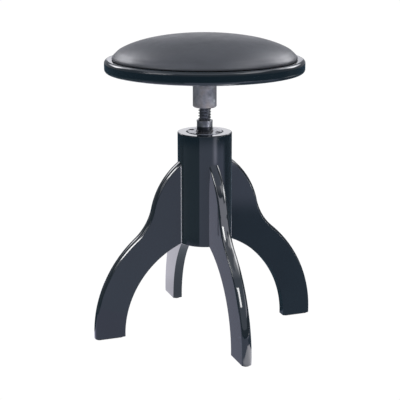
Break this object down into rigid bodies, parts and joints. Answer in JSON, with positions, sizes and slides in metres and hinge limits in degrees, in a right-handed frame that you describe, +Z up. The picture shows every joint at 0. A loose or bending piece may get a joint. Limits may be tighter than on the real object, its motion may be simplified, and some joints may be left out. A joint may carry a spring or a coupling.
{
  "type": "revolving piano stool",
  "caption": "Round padded seat on a lifting screw that turns in a nut in a lacquered column with curved legs; turning the seat sets its height.",
  "frame": {"origin": "on the floor under the column's axis, at the middle of the feet", "axes": "+Z up along the lifting screw; the legs point along +X, -X, +Y and -Y"},
  "size_m": [0.419, 0.419, 0.536],
  "materials": {
    "lacquered_wood": "gloss",
    "bare_wood": "matte",
    "felt": "matte",
    "foam": "matte",
    "leatherette": "satin",
    "dark_steel": "satin",
    "worn_steel": "satin",
    "zinc_steel": "satin",
    "black_screws": "satin",
    "guide_plastic": "matte"
  },
  "bodies": {
    "stand": {"column": "lacquered_wood", "leg_right": "lacquered_wood", "leg_back": "lacquered_wood", "leg_left": "lacquered_wood", "leg_front": "lacquered_wood", "leg_dowels": "bare_wood", "foot_pads": "felt", "spindle_nut": "dark_steel", "nut_screws": "black_screws"},
    "guide": {"spindle_guide": "guide_plastic"},
    "seat": {"spindle": "dark_steel", "stop_washer": "zinc_steel", "stop_bolt": "zinc_steel", "seat_sleeve": "worn_steel", "sleeve_pin": "zinc_steel", "seat_plate": "worn_steel", "plate_screws": "zinc_steel", "seat_board": "lacquered_wood", "cushion_base": "bare_wood", "cushion_foam": "foam", "cushion_cover": "leatherette", "cover_staples": "zinc_steel", "cushion_screws": "zinc_steel"}
  },
  "joints": [
    {"name": "seat_lift", "type": "slide", "parent": "stand", "child": "guide", "axis": [0, 0, 1], "range_m": [-0.0225, 0.085]},
    {"name": "seat_turn", "type": "hinge", "parent": "guide", "child": "seat", "pos_m": [0, 0, 0.4], "axis": [0, 0, 1], "range_deg": [-1620, 6120]}
  ],
  "couplings": [
    {"joint": "seat_lift", "follows": "seat_turn", "m_per_rad": 0.00079577}
  ]
}
